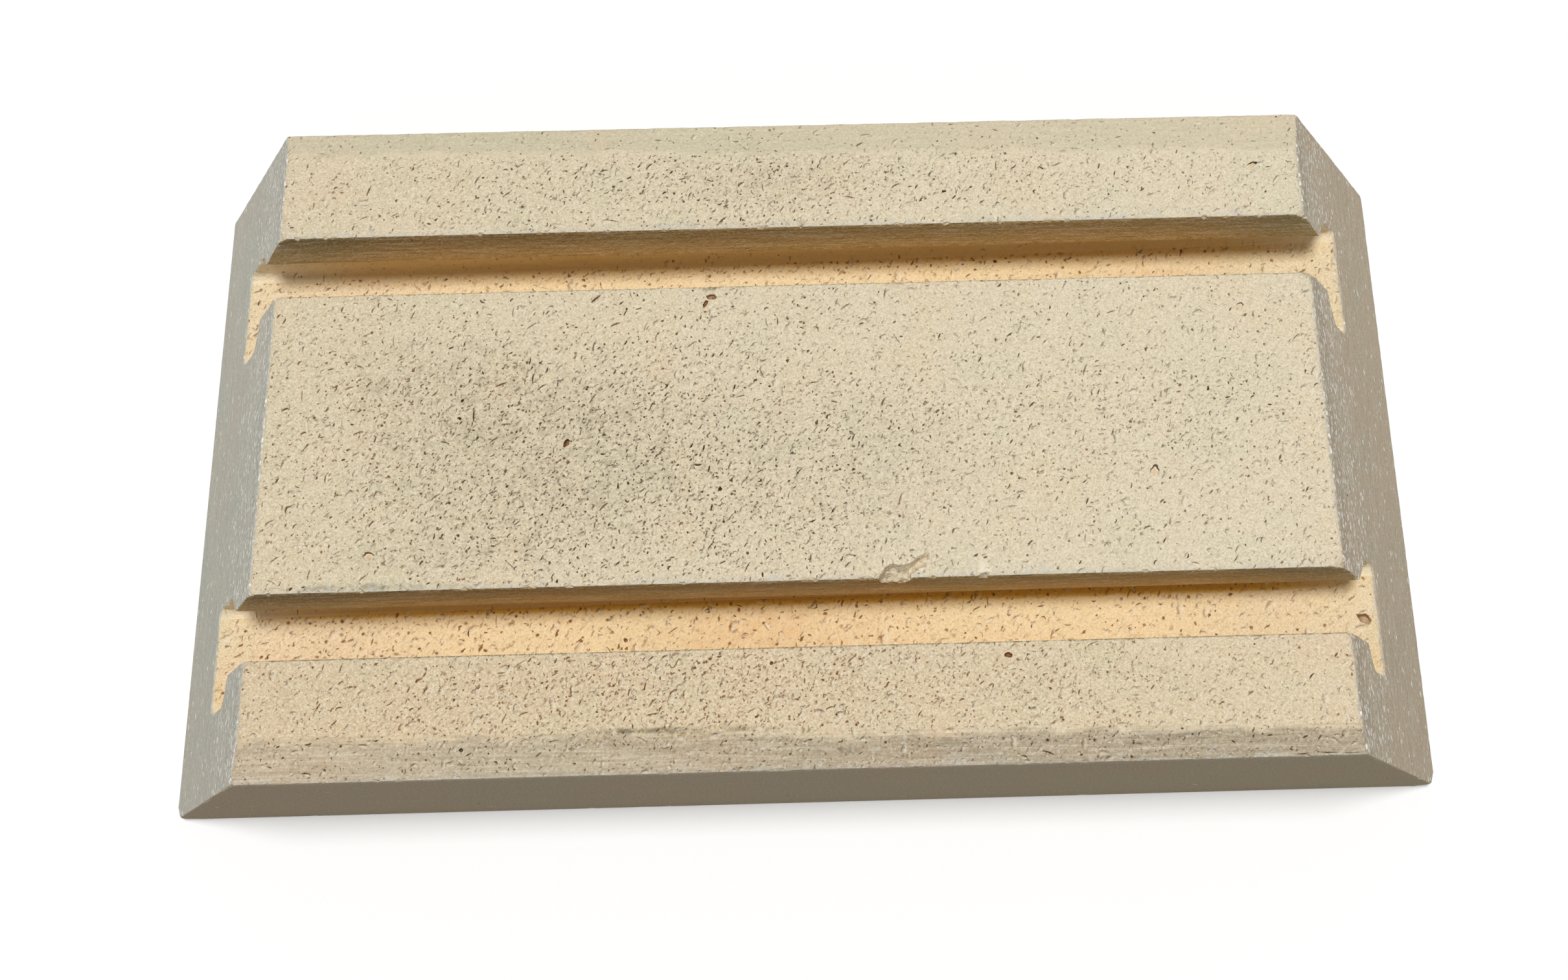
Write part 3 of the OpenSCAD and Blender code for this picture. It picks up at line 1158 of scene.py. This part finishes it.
def dirtied(spot, colour):
    # smears and scuffs on the hot face, painted shade under the lips in the slots
    kind, place, soft = spot.kind, spot.place, spot.soft
    if spot.dirt:
        colour = blend(colour, times(fit(spot.dirt, 0.05, 1.0), fit(soft, 0.42, 0.66, 0.05, 0.32)), "soiled")
        colour = blend(colour, times(smudges(place, scuffs), fit(soft, 0.38, 0.55, 0.0, 0.7)), "soiled")
    if kind == "floor":
        colour = blend(colour, times(smudges(place, blooms), fit(soft, 0.35, 0.62, 0.35, 1.0)), "bloom")
    if kind in ("floor", "channel"):
        # painted shade under the lips: browner, with a painted shadow strip where the light never reached,
        # most of all in mid slot
        inward = fit(spot.out, 0.075, 0.096, 1.0, 0.1)
        colour = blend(colour, times(painted("tan"), times(inward, 0.5)), "tan")
        frayed = calc("MULTIPLY_ADD", soft, 0.0012, -0.0006)
        for middle, strength in zip(brick["slotMiddles"], clay["lipShadowStrength"]):
            away = calc("ABSOLUTE", minus(spot.y, middle * mm))
            lipShadowStrip = times(fit(plus(away, frayed), 0.0053, 0.0059), calc("LESS_THAN", away, 0.02))
            strength *= 1.0 if kind == "floor" else 0.3
            colour = blend(colour, times(lipShadowStrip, times(inward, strength)), "lipShadow")
    return colour


def marked(spot, colour, height):
    # hairlines, then the small marks: dark ones, and hollows that are pale behind, a painted highlight, and
    # dark in front, painted shade
    kind, look, place = spot.kind, spot.look, spot.place
    hairs = cloud(scaled(place, (0.3, 1, 1), -50), clay["hairSize"], detail=2, rough=0.5, shift=0.3)
    height = plus(height, times(hairs, relief["hairs"]))
    colour = dye(colour, fit(hairs, 0.46, 0.34, 0.0, 0.35 * look["marks"]), "shade")
    plane = facePlane(spot)
    crowd = cloud(place, clay["crowdSize"], detail=2, shift=0.5)
    share = fit(crowd, 0.35, 0.65, 0.25 * look["marks"], 0.6 * look["marks"])
    thin = 1.0
    if spot.dirt:
        share = calc("MULTIPLY_ADD", spot.dirt, 0.25, times(share, 0.5))
        share = plus(share, smudges(place, busy))
        thin = fit(spot.x, -0.01, 0.07, 1.1, 1.0)
    if kind == "floor":
        # more marks lie in the painted shade under the lips
        share = plus(share, times(painted("tan"), 0.6))
        thin = fit(spot.x, 0.01, 0.08, 1.0, 0.35)
    for lay, depth in ((specks, 0.10), (dashes, 0.14)):
        inside, across, strength = strewn(plane, lay, times(share, thin), look["grow"])
        inside = times(inside, least(times(strength, spot.bold), 1.0))
        colour = blend(colour, times(inside, 0.95), spot.ink)
        height = minus(height, times(inside, depth))
    for lay, more in ((dimples, 1.8), (curls, 2.0)):
        inside, across, strength = strewn(plane, lay, times(share, more), look["grow"])
        inside = times(inside, least(times(strength, 2.2), 1.0))
        # painted highlight on one side of each hollow and painted shade on the other
        colour = blend(colour, times(times(inside, fit(across, 0.2, -0.4)), 0.55), "pale")
        colour = blend(colour, times(times(inside, fit(across, 0.1, 0.75)), 0.8), spot.ink)
        height = minus(height, times(inside, fit(across, -0.8, 0.8, 0.05, 0.25)))
    return colour, height


def streaked(spot, colour, height):
    # drag lines left by the saw and the cutting wire
    look = spot.look
    streak = look["streak"]
    lines = cloud(scaled(spot.place, look["stretch"]), look["lineSize"], detail=3, rough=0.6)
    dark, light = min(1, 0.45 * streak), min(0.25, 0.2 * streak)
    colour = mottled(colour, lines, (0.45, 0.68, 0.0, dark), (0.48, 0.3, 0.0, light))
    return colour, plus(height, times(lines, relief["lines"] * streak))


def flecked(spot, colour, height):
    much = spot.look["flecks"]
    top = brick["thickness"] * mm
    share = fit(spot.z, top - 0.020, top - 0.004, 0.12, 1.0) if spot.kind == "end" else 0.6
    inside, across, strength = strewn(facePlane(spot), flecks, share)
    inside = times(inside, strength)
    colour = blend(colour, least(times(inside, much), 1.0), "fleck")
    return colour, plus(height, times(inside, relief["flecks"] * much))


def wornColour(spot, colour):
    # rubbed arrises pale with wear and a painted highlight, soiled arrises, crumbling ends, fresh clay in the
    # chips
    kind, look, place = spot.kind, spot.look, spot.place
    if look["rubbedAndSheen"]:
        rubAndSheen = painted("rubAndSheen")
        ragged = cloud(place, clay["wornSize"], detail=3, shift=0.35)
        # pale with wear and a painted highlight where rub is above zero
        pale = times(fit(rubAndSheen, 0.05, 0.8), fit(ragged, 0.35, 0.6, 0.15, 0.7))
        colour = blend(colour, times(pale, look["rubbedAndSheen"]), "rubbedAndSheen")
        worn = times(fit(rubAndSheen, -0.15, -0.65), fit(ragged, 0.4, 0.6, 0.2, 1.0))
        colour = blend(colour, times(worn, 0.75), "soiled")
    if kind in ("hot", "floor", "channel"):
        # a pale rim at the right end
        below = minus(brick["thickness"] * mm, spot.z)
        endPlane = plus(times(below, math.tan(math.radians(brick["mitre"]))), brick["hotLength"] / 2 * mm)
        crumbs = cloud(place, clay["crumbSize"], detail=3, shift=0.55)
        rim = fit(minus(endPlane, spot.x), 0.0008, 0.0002)
        colour = blend(colour, times(rim, fit(crumbs, 0.4, 0.58, 0.05, 0.75)), "rubbedAndSheen")
    return blend(colour, fit(painted("fresh"), 0.1, 0.7), "fresh")


def hollowed(spot, colour):
    # the marks that are cut into the mesh: painted shade with dirt where the tone is dark, a painted
    # highlight where it is pale
    painting = painted("pit")
    hollow = painting
    if spot.kind == "hot":
        bolder = times(hollow, most(spot.bold, 1.0))
        hollow = most(least(bolder, most(hollow, 1.0)), painting)
    rusting = most(times(spot.rusty, 0.7), fit(hollow, 1.0, 1.8))
    if spot.kind == "floor":
        rusting = most(rusting, 0.75)
    colour = blend(colour, fit(hollow, 0.06, 0.75, 0.0, 0.95), blend(clay["pit"], rusting, "rust"))
    blushing = blend(clay["pale"], fit(hollow, -1.0, -1.8), "blush")
    return blend(colour, fit(hollow, -0.1, -0.9, 0.0, 0.85), blushing)


def clayMaterial(kind):
    material = bpy.data.materials.new("fired clay " + kind)
    material.use_nodes = True
    wiring["tree"] = material.node_tree
    spot = spotOn(kind)
    look, place = spot.look, spot.place
    colour = dirtied(spot, groundColour(spot))
    height = times(cloud(place, relief["grainSize"], detail=2, rough=0.6), relief["grain"])
    lumps = cloud(place, relief["lumpSize"], detail=4, shift=0.6)
    height = plus(height, times(lumps, relief["lumps"]))
    for name, layer in (("marks", marked), ("streak", streaked), ("flecks", flecked)):
        if look[name]:
            colour, height = layer(spot, colour, height)
    colour = hollowed(spot, wornColour(spot, colour))
    bump = feed(addNode("ShaderNodeBump"), Strength=look["grain"], Distance=mm, Height=height)
    shader = material.node_tree.nodes["Principled BSDF"]
    shader.inputs["Specular IOR Level"].default_value = clay["specular"]
    feed(shader, **{"Base Color": colour, "Roughness": clay["roughness"], "Normal": bump.outputs[0]})
    return material


layFaces()
body = makeBrick()
for kind in kinds:
    body.data.materials.append(clayMaterial(kind))
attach(body, "root")
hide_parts("fire_brick")
print("clay mixed")


studio = {
    "floorSize": 4.0,
    "floorSeen": 1.0,
    "floorBounce": 0.42,  # what the floor sends back up to the brick
    "key": 0.77,  # against a full light of 1
    "keyTilt": (-0.5, 1.0),  # degrees off upright, to the back and to the left
    "keyAngle": 20,
    "sky": 0.25,
}
camera = {
    "place": (10.6, -106.9, 339.4),  # mm
    "turn": (20.2, 0.0, -1.54),
    "lens": 44.2,
    "shift": (-0.059, -0.0596),
}


def makeFloor():
    bpy.ops.mesh.primitive_plane_add(size=studio["floorSize"])
    floor = bpy.context.object
    floor.name = "paleFloor"
    material = bpy.data.materials.new("pale floor")
    material.use_nodes = True
    wiring["tree"] = material.node_tree
    shader = material.node_tree.nodes["Principled BSDF"]
    shader.inputs["Roughness"].default_value = 1.0
    shader.inputs["Specular IOR Level"].default_value = 0.0
    seen, bounce = studio["floorSeen"], studio["floorBounce"]
    path = addNode("ShaderNodeLightPath")
    colour = blend((bounce, bounce, bounce, 1), path.outputs["Is Camera Ray"], (seen, seen, seen, 1))
    feed(shader, **{"Base Color": colour})
    floor.data.materials.append(material)


def makeLights():
    lamp = bpy.data.lights.new("key", "SUN")
    lamp.energy = studio["key"] * math.pi
    lamp.angle = math.radians(studio["keyAngle"])
    holder = bpy.data.objects.new("key", lamp)
    back, left = studio["keyTilt"]
    holder.rotation_euler = (-math.radians(back), -math.radians(left), 0)
    bpy.context.collection.objects.link(holder)
    # a soft sky round the brick, plain white where it is seen
    world = bpy.data.worlds.new("studio")
    bpy.context.scene.world = world
    world.use_nodes = True
    wiring["tree"] = world.node_tree
    path = addNode("ShaderNodeLightPath")
    sky = world.node_tree.nodes["Background"]
    feed(sky, Color=(1, 1, 1, 1), Strength=fit(path.outputs["Is Camera Ray"], 0, 1, studio["sky"], 1.0))


def makeCamera():
    eye = bpy.data.cameras.new("camera")
    eye.lens = camera["lens"]
    eye.shift_x, eye.shift_y = camera["shift"]
    eye.clip_start = 0.01
    holder = bpy.data.objects.new("camera", eye)
    holder.location = Vector(camera["place"]) * mm
    holder.rotation_euler = [math.radians(a) for a in camera["turn"]]
    bpy.context.collection.objects.link(holder)
    bpy.context.scene.camera = holder


makeFloor()
makeLights()
makeCamera()
bpy.context.scene.view_settings.view_transform = "Standard"
print("studio lit")
